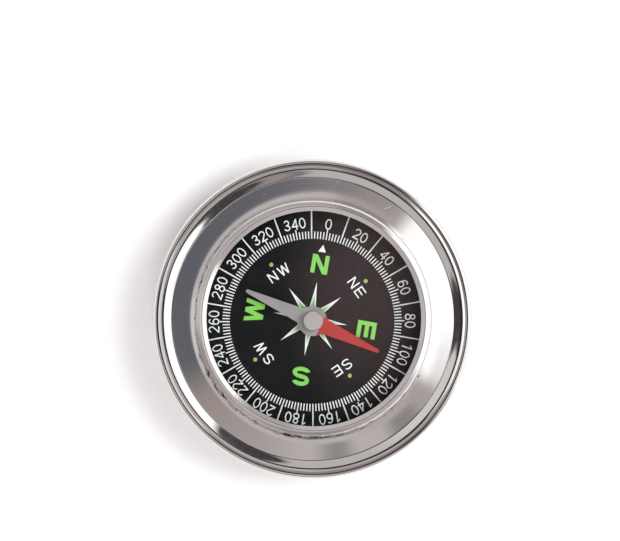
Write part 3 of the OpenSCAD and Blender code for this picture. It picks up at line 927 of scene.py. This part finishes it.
class COMPASS_OT_case(bpy.types.Operator):
    """Makes the back shell with its rolled rim and the bezel with its ridge, lip and coved band"""

    bl_idname = "compass.case"
    bl_label = "Case"

    def execute(self, context):
        size = case_sizes()
        mirror, satin = mirror_steel(), satin_steel()
        case_r, _, _, shell_top = node_span("back_shell")
        fold_h = size.sheet + 2 * size.fold_gap
        hem_r = fold_h + size.sheet
        ledge_z = shell_top - hem_r
        hem_axis = (case_r - hem_r, ledge_z)
        hem_edge = hem_axis[0] - size.hem_lap
        side_r, side_h, base_r = case_r - size.rim_step, ledge_z - size.sheet, size.base_d / 2
        outside = arc((base_r, side_h), side_r - base_r, side_h, -90, 0, 40)
        shell = np.concatenate([
            spread([[0, 0], [base_r, 0]], 3 * MM), outside[1:],
            arc((case_r - size.sheet, ledge_z), size.sheet, size.sheet, -90, 0, 14)[:-1],
            arc(hem_axis, hem_r, hem_r, 0, 90, 30),
            [[hem_edge, shell_top], [hem_edge, shell_top - size.sheet]],
            arc(hem_axis, fold_h, fold_h, 90, 0, 14),
            [[side_r - size.sheet, ledge_z]], beside(outside, size.sheet)[::-1], [[0, size.sheet]],
        ])
        finished_piece(
            "shell_steel", turned_mesh(shell, wrap=False), [mirror], "case", ["back_shell"]
        )
        flange_r, _, _, band_top = node_span("front_bezel")
        flange_top = ledge_z + size.fold_gap + size.sheet
        ridge = (hem_edge - size.flange_w, flange_top + size.ridge_rise)
        crease = (ridge[0] - size.lip_w, ridge[1] - size.lip_drop)
        band_in = seam_radius() + size.collar_gap
        # The band: an even slope, plus a rise that only grows near its end, as the 7th power does
        share = np.linspace(0, 1, 72)[1:, None]
        band = np.concatenate([
            crease[0] + (band_in - crease[0]) * share,
            crease[1] + size.band_rise * share + size.cove_rise * share**7,
        ], 1)
        corners = np.array([
            (flange_r, flange_top), (hem_edge - size.slope_gap, flange_top), ridge, crease, band[0],
        ])
        # The start, 7 points round the ridge, 7 round the crease, and the end
        bent = rounded(corners[1:], [size.ridge_round, size.crease_round])
        to_lip, from_lip = bent[:8], bent[8:-1]
        # The lip between the two bends is crowned: a parabola over its chord
        share = np.linspace(0, 1, 15)[1:-1, None]
        chord = from_lip[0] - to_lip[-1]
        crown = size.lip_crown * unit(np.array([chord[1], -chord[0]]))
        crowned = to_lip[-1] + chord * share + crown * 4 * share * (1 - share)
        lip = spread(np.concatenate([corners[:1], to_lip, crowned, from_lip]), 0.12 * MM)
        collar_z, collar_r = band_top - size.collar_h, band_in + size.sheet
        under = beside(np.concatenate([corners[:-1], band]), size.sheet)
        hidden = spread(under[under[:, 0] > collar_r][::-1], 0.6 * MM)
        path = np.concatenate([lip, band, [[band_in, collar_z], [collar_r, collar_z]], hidden])
        zones = np.zeros(len(path))
        zones[len(lip) - 1 : len(lip) + len(band)] = 1
        finished_piece(
            "bezel_steel", turned_mesh(path, zones=zones), [mirror, satin], "case",
            ["front_bezel"], sharp=16,
        )
        return {"FINISHED"}


class COMPASS_OT_lens_ring(bpy.types.Operator):
    """Makes the turned ring that holds the lens"""

    bl_idname = "compass.lens_ring"
    bl_label = "Lens ring"

    def execute(self, context):
        size = case_sizes()
        foot_r, _, ring_z, ring_top = node_span("lens_ring")
        lens_top = node_span("lens")[3]
        collar_z = node_span("front_bezel")[3] - size.collar_h
        ring_r = seam_radius()
        bore_r = ring_r - size.ring_wall
        opening_r = ring_r - size.shoulder_w - size.bevel_w
        # The shoulder is one arc that turns from the slope at its foot to the slope at its top
        foot, top = size.shoulder_foot, size.shoulder_top
        curve_r = size.shoulder_w / (math.sin(foot) - math.sin(top))
        axis = (ring_r - curve_r * math.sin(foot), ring_top - curve_r * math.cos(top))
        shoulder = arc(axis, curve_r, curve_r, 90 - math.degrees(foot), 90 - math.degrees(top), 40)
        # The crest takes up the shoulder's last 7 steps
        crest = rounded(
            [shoulder[-8], shoulder[-1], [opening_r, lens_top + size.ring_edge]], size.crest_round, 10
        )
        path = np.concatenate([
            [[bore_r, ring_z], [foot_r, ring_z], [foot_r, collar_z], [ring_r, collar_z]],
            shoulder[:-7], spread(crest[1:], 0.1 * MM), [[opening_r, lens_top], [bore_r, lens_top]],
        ])
        finished_piece(
            "ring_steel", turned_mesh(path), [turned_steel()], "case", ["lens_ring"], sharp=14
        )
        return {"FINISHED"}


class COMPASS_OT_lens(bpy.types.Operator):
    """Makes the flat glass with its ground edges"""

    bl_idname = "compass.lens"
    bl_label = "Lens"

    def execute(self, context):
        radius, _, low, high = node_span("lens")
        inside = radius - 1 * MM
        edge = rounded(
            [(inside, low), (radius, low), (radius, high), (inside, high)], case_sizes().lens_edge
        )
        path = np.concatenate([
            spread([[0, low], edge[0]], 4 * MM), edge[1:-1], spread([edge[-1], [0, high]], 4 * MM),
        ])
        finished_piece(
            "lens_pane", turned_mesh(path, wrap=False), [mineral_glass()], "case", ["lens"]
        )
        return {"FINISHED"}


class COMPASS_OT_dial_scale(bpy.types.Operator):
    """Prints the tick ring and the lines between the numbers on the dial"""

    bl_idname = "compass.dial_scale"
    bl_label = "Dial scale"

    def execute(self, context):
        size = dial_sizes()
        centre = node_span("dial_plate")[1]
        white = printed_ink("white_ink_screen_printed", colours().white)
        dress("dial_plate", black_enamel())
        print_on_dial("dial_scale", [
            on_bearing(
                np.radians(np.arange(start, 360, step)), width / 2 * np.array([-1, 1, 1, -1]),
                [inner, inner, outer, outer], centre,
            )
            for start, step, width, inner, outer in (
                (0, 2, size.tick_w, size.tick_in, size.tick_out),
                (0, 20, size.tick_w, size.tick_out, size.long_tick_out),
                (10, 20, size.line_w, size.tick_out, size.sector_out),
            )
        ], white)
        return {"FINISHED"}


class COMPASS_OT_dial_words(bpy.types.Operator):
    """Prints the numbers and the letters of the compass points"""

    bl_idname = "compass.dial_words"
    bl_label = "Dial words"

    def execute(self, context):
        size = dial_sizes()
        centre, inner = node_span("dial_plate")[1], inner_print()
        white = bpy.data.materials["white_ink_screen_printed"]
        green = printed_ink("green_ink_screen_printed", colours().green)
        numbers = [(n, size.number_r, str(n)) for n in range(0, 360, 20)]
        mains = [(90 * k, size.point_r, word) for k, word in enumerate("NESW")]
        halves = [
            (bearing, size.half_point_r, word)
            for bearing, word in ((45, "NE"), (136.4, "SE"), (225, "SW"), (316.5, "NW"))
        ]
        for name, words, height, stroke, middle, wide, gap, ink in (
            ("dial_numbers", numbers, size.number_h, size.number_line, centre, 0.88, 0.12, white),
            ("dial_main_letters", mains, size.point_h, size.point_line, inner, 0.9, 0.12, green),
            ("dial_small_letters", halves, size.half_point_h, size.half_point_line, inner, 0.8, 0.3, white),
        ):
            print_on_dial(name, words_on_dial(words, height, stroke, middle, wide, gap), ink)
        return {"FINISHED"}


class COMPASS_OT_dial_marks(bpy.types.Operator):
    """Prints the star, the north mark and the dots"""

    bl_idname = "compass.dial_marks"
    bl_label = "Dial marks"

    def execute(self, context):
        size = dial_sizes()
        white = bpy.data.materials["white_ink_screen_printed"]
        rays = np.radians(np.arange(0, 360, 45))
        inner = inner_print()
        middle = (inner[0], inner[1] + size.star_off)
        half, wide_r, edge = size.star_w / 2, size.star_wide_r, size.star_edge
        # Radii at which the two sides of a ray and of its core meet again near the middle
        ray_root, core_root = 0.4 * MM, 1.2 * MM
        # A ray is a slim kite: its sides run straight from the tip to its widest place near the middle
        kites = on_bearing(rays, [0, half, 0, -half], [size.star_r, wide_r, ray_root, wide_r], middle)
        print_on_dial("star_rays", [kites], white)
        # Its green core leaves an even white edge: the same kite, drawn in by that edge's width
        slope = math.hypot(size.star_r - wide_r, half) / half
        core_r = wide_r + edge / 2
        cores = on_bearing(
            rays, [0, half - edge, 0, edge - half],
            [size.star_r - edge * slope, core_r, core_root, core_r], middle,
        )
        print_on_dial("star_cores", [cores], faded_green_ink(middle), layer=1)
        arrow = on_bearing(
            [0.0], [-size.arrow_w / 2, size.arrow_w / 2, 0],
            [size.arrow_in, size.arrow_in, size.arrow_out], inner,
        )
        print_on_dial("north_mark", [arrow], white)
        turn = np.linspace(0, 2 * np.pi, 24, endpoint=False)
        spots = on_bearing(
            np.radians([45, 135, 225, 315]), size.dot_d / 2 * np.cos(turn),
            size.dot_r + size.dot_d / 2 * np.sin(turn), inner,
        )
        print_on_dial("dial_dots", [spots], printed_ink("lime_ink_screen_printed", colours().lime))
        return {"FINISHED"}


class COMPASS_OT_needle(bpy.types.Operator):
    """Makes the needle's blade with its two finishes and the cap over its hub"""

    bl_idname = "compass.needle"
    bl_label = "Needle"

    def execute(self, context):
        centre = node_span("hub_cap")[1]
        points, zones = self.blade(centre)
        finished_piece(
            "blade", grid_mesh(points, True, zones),
            [sprayed_paint("red_paint_sprayed", colours().red, 0.34, 0.46),
             sprayed_paint("grey_lacquer_sprayed", colours().grey, 0.3, 0.42)],
            "needle", ["needle_blade"],
        )
        finished_piece(
            "cap", turned_mesh(self.cap(), centre, wrap=False), [etched_aluminium()], "needle",
            ["hub_cap"], sharp=40,
        )
        dress("needle_hub", turned_metal(
            "aluminium_turned", colours().aluminium, centre, 0.24, 0.36, 0.16,
        ))
        dress("jewel_cup", synthetic_ruby())
        return {"FINISHED"}

    def blade(self, centre):
        """Points and material numbers of the blade. Its half width along the needle is the round centre and
        a straight taper, blended by their 8th powers; the tips end in half circles."""
        size = dial_sizes()
        _, _, low, high = node_span("needle_blade")
        half_len, tip_r, root = size.needle_len / 2, size.arm_tip_w / 2, size.arm_root_w / 2
        arm = half_len - tip_r
        y = np.concatenate([
            arm + tip_r * np.cos(np.linspace(0, np.pi / 2, 9)), np.linspace(arm, 0, 140)[1:],
        ])
        y = np.unique(np.concatenate([y, -y, [size.bare]]))[::-1]
        out = np.abs(y)
        taper = root + (tip_r - root) * np.minimum(out, arm) / half_len
        disc = np.sqrt(np.maximum((size.needle_disc_d / 2) ** 2 - out**2, 0))
        past = np.clip((out - arm) / tip_r, 0, 1)
        half = (taper**8 + disc**8) ** (1 / 8) * np.sqrt(1 - past**2)
        # Round the outline: down one side and back up the other. Each section runs from the hub's hole over
        # the flat top, round the edge that stamping and paint leave, and back under the blade to the hole
        side = np.concatenate([np.ones(len(y)), -np.ones(len(y) - 2)])
        y, half = np.concatenate([y, y[-2:0:-1]]), np.concatenate([half, half[-2:0:-1]])
        round_r = np.minimum(size.blade_edge, half / 2)
        turn = np.radians(np.linspace(81, -81, 10))[:, None]
        edge_x = side * (half - round_r + round_r * np.cos(turn))
        edge_z = np.sign(turn) * ((high - low) / 2 - round_r) + round_r * np.sin(turn)
        # A row of points 0.02 mm inside the rounding keeps the top flat, or closer where the tip is narrow
        inset = side * np.maximum(half - round_r - 0.02 * MM, 0.7 * (half - round_r))
        # The hole is pressed on to the hub's spigot, and stands a hair clear of it
        hole_r = size.spigot_d / 2 + 0.005 * MM
        bearing = np.arctan2(inset, y)
        hole_x, hole_y = hole_r * np.sin(bearing), hole_r * np.cos(bearing)
        # The paint's straight edge crosses the lines from hole to outline where they reach its distance
        painted = y > size.bare - 1e-9
        reach = np.where(painted, (size.bare - hole_y) / np.where(painted, y - hole_y, 1), 0.5)
        paint_x, paint_y = hole_x + reach * (inset - hole_x), hole_y + reach * (y - hole_y)
        across = np.stack([hole_x, paint_x, inset, *edge_x, inset, paint_x, hole_x])
        along = np.stack([hole_y, paint_y, y, *np.broadcast_to(y, edge_x.shape), y, paint_y, hole_y])
        up = np.stack([*[edge_z[0]] * 3, *edge_z, *[edge_z[-1]] * 3])
        flat = on_bearing(size.bearing, across, along, centre)
        zones = np.ones(up.shape, int)
        zones[1:-3, painted & np.roll(painted, -1)] = 0
        return np.concatenate([flat, (low + high) / 2 + up[..., None]], -1), zones

    def cap(self):
        """The cap's section, with rounded corners and a chamfer, and a recess for the hub under it."""
        radius, _, low, high = node_span("hub_cap")
        hub_r, _, _, hub_top = node_span("needle_hub")
        chamfer, inside = dial_sizes().cap_chamfer, radius - 1 * MM
        rim = rounded([
            (inside, low), (radius, low), (radius, high - chamfer), (radius - chamfer, high), (inside, high),
        ], [0.06 * MM, 0.05 * MM, 0.05 * MM])
        return np.concatenate([
            [[0, hub_top], [hub_r, hub_top], [hub_r, low]], rim[:-1], spread([rim[-1], [0, high]], 0.4 * MM),
        ])


class COMPASS_OT_inside(bpy.types.Operator):
    """Finishes the pieces inside: pivot, chamber, carrier and packing"""

    bl_idname = "compass.inside"
    bl_label = "Inside"

    def execute(self, context):
        centre = node_span("pivot_post")[1]
        brass = turned_metal("brass_turned", colours().brass, centre, 0.2, 0.34, 0.2)
        dress("pivot_post", brass)
        dress("post_washer", brass)
        dress("pivot_pin", ground_steel())
        dress("lens_gasket", black_rubber())
        dress("spacer_ring", moulded_plastic("abs_moulded_black", colours().chamber, 0.55))
        dress("dial_carrier", moulded_plastic("abs_moulded_grey", colours().carrier, 0.6))
        dress("packing_disc", fibre_board())
        return {"FINISHED"}


class COMPASS_OT_stage(bpy.types.Operator):
    """Sets the floor, the studio light and the camera"""

    bl_idname = "compass.stage"
    bl_label = "Stage"

    def execute(self, context):
        scene = context.scene
        scene.view_settings.view_transform = "Standard"
        # The floor is 5 m wide
        corners = 2.5 * np.array([(-1, -1, 0), (1, -1, 0), (1, 1, 0), (-1, 1, 0)])
        mesh = new_mesh(corners, [(0, 1, 2, 3)])
        mesh.name = "studio_floor"
        mesh.materials.append(studio_floor())
        floor = bpy.data.objects.new("studio_floor", mesh)
        scene.collection.objects.link(floor)
        self.light(scene)
        # Watts, bearing in the picture, angle from straight up, distance in metres
        self.lamp(scene, "soft_box", 4.1, leaned(77, 48, 0.75))
        self.lamp(scene, "fill_box", 2.7, leaned(198, 38, 0.85))
        self.aim(scene)
        return {"FINISHED"}

    def light(self, scene):
        """A dark ceiling, pale and dark panels round it, a bright wall low down, and a white panel to the
        right. Metal sees these; all that isn't metal is lit by two soft boxes, one behind the white panel
        and a weaker one at the compass's foot."""
        world = bpy.data.worlds.new("studio")
        scene.world = world
        world.use_nodes = True
        tree = world.node_tree
        tree.nodes.clear()
        way = add_node(tree, "TexCoord").outputs["Generated"]
        share = view_bearing(tree, way)
        height = add_node(tree, "SeparateXYZ", {0: way}).outputs["Z"]
        lean = add_node(tree, "Math", {0: height}, operation="ARCCOSINE")

        # The ceiling is dark, with a dim brown patch that the glass shows over the dial's right half. Its
        # middle and its half widths are shares of the direction's length, to the right and up in the picture,
        # and the height is divided away. It fades between 0.35 and 1.75 of its half width
        across, up = 0.089, 0.031
        sine, cosine = math.sin(NORTH_IN_VIEW), math.cos(NORTH_IN_VIEW)
        patch = add_node(tree, "Mapping", {
            "Vector": way, "Rotation": (0, 0, NORTH_IN_VIEW), "Scale": (0.0135, 0.021, 1000),
            "Location": (across * cosine - up * sine, across * sine + up * cosine, 0),
        }, vector_type="TEXTURE")
        reach = add_node(tree, "VectorMath", {0: patch}, operation="LENGTH")
        warm = add_node(
            tree, "MapRange",
            {"Value": reach, "From Min": 0.35, "From Max": 1.75, "To Min": 1.0, "To Max": 0.0},
            interpolation_type="SMOOTHSTEP",
        )
        sky = add_node(tree, "Mix", {
            "Factor": warm, "A": rgba(linear("#1E1E24")), "B": rgba(linear("#B89799")),
        }, data_type="RGBA")
        # Panels from high up to low down: the lip, the band, the bevel, and the cove with its ring show
        # them. Each row starts at an angle from straight up and is full at the next one
        for turns, start, full, row in (
            (self.rounded_ends(tree, way, share), 13, 16,
             "0 pale 21 pale 25 soot 45 soot 49 white 118 white 121 soot 142 soot 147 brown 156 brown "
             "161 slate 167 pale 253 pale 259 soot 289 soot 293 pearl 330 pearl 350 pale 360 pale"),
            (share, 31.5, 34,
             "0 shade 16 shade 36 dim 44 grey 50 white 93 white 99 silver 109 grey 113 silver 124 silver "
             "127 dim 135 dim 142 pale 154 pale 160 grey 165 grey 174 pale 198 silver 232 brown 243 dim "
             "250 slate 335 slate 360 shade"),
            (share, 42, 46,
             "0 pale 14 pale 18 silver 44 silver 50 white 111 white 117 silver 160 pale 238 pale "
             "258 pearl 280 pearl 290 pale 360 pale"),
            (share, 55, 59,
             "0 silver 12 silver 20 grey 40 grey 47 white 110 white 118 pale 150 silver 165 grey 190 grey "
             "210 silver 240 brown 256 grey 270 pale 282 pale 300 silver 360 silver"),
            (share, 74, 78, "0 wall 47 wall 52 white 108 white 114 wall 360 wall"),
        ):
            tones = add_node(tree, "ValToRGB", {"Fac": turns}, stops=around(row))
            below = add_node(
                tree, "MapRange",
                {"Value": lean, "From Min": math.radians(start), "From Max": math.radians(full)},
                interpolation_type="SMOOTHSTEP",
            )
            sky = add_node(tree, "Mix", {"Factor": below, "A": sky, "B": tones}, data_type="RGBA")
        light = add_node(tree, "Background", {"Color": sky, "Strength": 1.0})
        add_node(tree, "OutputWorld", {"Surface": light})

    def rounded_ends(self, tree, way, share):
        """The bearing, shifted so that the high panels' ends are round in the lip: by 3.5 degrees one way
        at the lip's middle, and with the square of the distance from it by as much the other way at its
        edges. The row of levels says which way: 1 and 0 for the two ways, and 0.5 for none."""
        noses = add_node(tree, "ValToRGB", {"Fac": share}, stops=around(
            "0 1 24 1 38 0.5 100 0.5 110 0 162 0 175 0.5 235 0.5 245 1 300 1 320 0.5 345 0.5 360 1"
        ))
        # A level mirror shows the camera the direction opposite its own lean. From there the lip's middle
        # and half its range are counted, all as sines
        camera_sine, lip_sine, half_range = 0.08, 0.408, 0.08
        from_mirror = add_node(tree, "Mapping", {
            "Vector": way, "Location": (*from_view(73, camera_sine), 0), "Scale": (1, 1, 1000),
        }, vector_type="TEXTURE")
        sine = add_node(tree, "VectorMath", {0: from_mirror}, operation="LENGTH")
        aside = add_node(
            tree, "Math", {0: sine, 1: 1 / half_range, 2: -lip_sine / half_range}, operation="MULTIPLY_ADD"
        )
        square = add_node(tree, "Math", {0: aside, 1: aside}, operation="MULTIPLY")
        bulge = add_node(tree, "Math", {0: square, 1: -1.0, 2: 0.5}, operation="MULTIPLY_ADD")
        side = add_node(tree, "Math", {0: noses, 1: 0.5}, operation="SUBTRACT")
        turned = add_node(tree, "Math", {0: side, 1: bulge}, operation="MULTIPLY")
        # The level and the bulge both run half a unit either way
        return add_node(tree, "Math", {0: turned, 1: 3.5 * 4 / 360, 2: share}, operation="MULTIPLY_ADD")

    def lamp(self, scene, name, watts, place):
        """A square soft box, 0.5 m wide, that looks at the compass and that metal doesn't see."""
        data = bpy.data.lights.new(name, "AREA")
        data.shape = "SQUARE"
        data.size, data.energy = 0.5, watts
        holder = bpy.data.objects.new(name, data)
        holder.visible_glossy = False
        scene.collection.objects.link(holder)
        holder.matrix_world = self.facing(place, np.zeros(3), np.array([0, 0, 1.0]))

    def aim(self, scene):
        """A long lens over the dial, leaned 4.6 degrees to the left and slightly down in the picture. The
        picture is 620 by 541 px, with 4.267 px to the millimetre at the rolled rim's level, and the rim's
        middle stands at (313.3, 318.7) in it."""
        width, tall, pixel = 620, 541, MM / 4.267
        distance = 0.9
        data = bpy.data.cameras.new("camera")
        data.lens = data.sensor_width * distance / (width * pixel)
        data.clip_start, data.clip_end = 0.05, 20
        camera = bpy.data.objects.new("camera", data)
        scene.collection.objects.link(camera)
        middle = np.array([0, 0, node_span("back_shell")[3]])
        place = middle + leaned(253, 4.6, distance)
        up = np.array([*from_view(0, 1), 0])
        right, above, _ = self.axes(place, middle, up)
        target = middle - right * (313.3 - width / 2) * pixel + above * (318.7 - tall / 2) * pixel
        camera.matrix_world = self.facing(place, target, up)
        scene.camera = camera

    def axes(self, place, target, up):
        """Right, up and back of a thing that stands at place and looks at target."""
        back = unit(place - target)
        right = unit(np.cross(up, back))
        return right, np.cross(back, right), back

    def facing(self, place, target, up):
        """A matrix, column by column, that puts an object at place, looks down its own -Z at target, with
        its Y towards up."""
        matrix = np.eye(4)
        matrix[:, :3] = np.array([*self.axes(place, target, up), place])
        return matrix.tolist()


class COMPASS_PT_panel(bpy.types.Panel):
    """Lists the compass's pieces in the order in which they are made"""

    bl_idname = "COMPASS_PT_panel"
    bl_label = "Compass"
    bl_space_type = "VIEW_3D"
    bl_region_type = "UI"
    bl_category = "Compass"

    def draw(self, context):
        for operator in OPERATORS:
            self.layout.operator(operator.bl_idname)
        for group in GROUPS:
            holder = getattr(context.scene, group)
            for key in holder.bl_rna.properties.keys():
                if key not in ("rna_type", "name"):
                    self.layout.prop(holder, key)


OPERATORS = (
    COMPASS_OT_case, COMPASS_OT_lens_ring, COMPASS_OT_lens, COMPASS_OT_dial_scale, COMPASS_OT_dial_words,
    COMPASS_OT_dial_marks, COMPASS_OT_needle, COMPASS_OT_inside, COMPASS_OT_stage,
)
GROUPS = {
    "compass_case": CompassCaseSizes, "compass_dial": CompassDialSizes, "compass_colours": CompassColours,
}


def register():
    for name, group in GROUPS.items():
        bpy.utils.register_class(group)
        setattr(bpy.types.Scene, name, bpy.props.PointerProperty(type=group))
    for made in (*OPERATORS, COMPASS_PT_panel):
        bpy.utils.register_class(made)


def unregister():
    for made in (COMPASS_PT_panel, *reversed(OPERATORS)):
        bpy.utils.unregister_class(made)
    for name, group in reversed(GROUPS.items()):
        delattr(bpy.types.Scene, name)
        bpy.utils.unregister_class(group)


def main():
    """Registers the add-on and makes the pieces in order."""
    register()
    for operator in OPERATORS:
        area, name = operator.bl_idname.split(".")
        getattr(getattr(bpy.ops, area), name)()


if __name__ == "__main__":
    main()
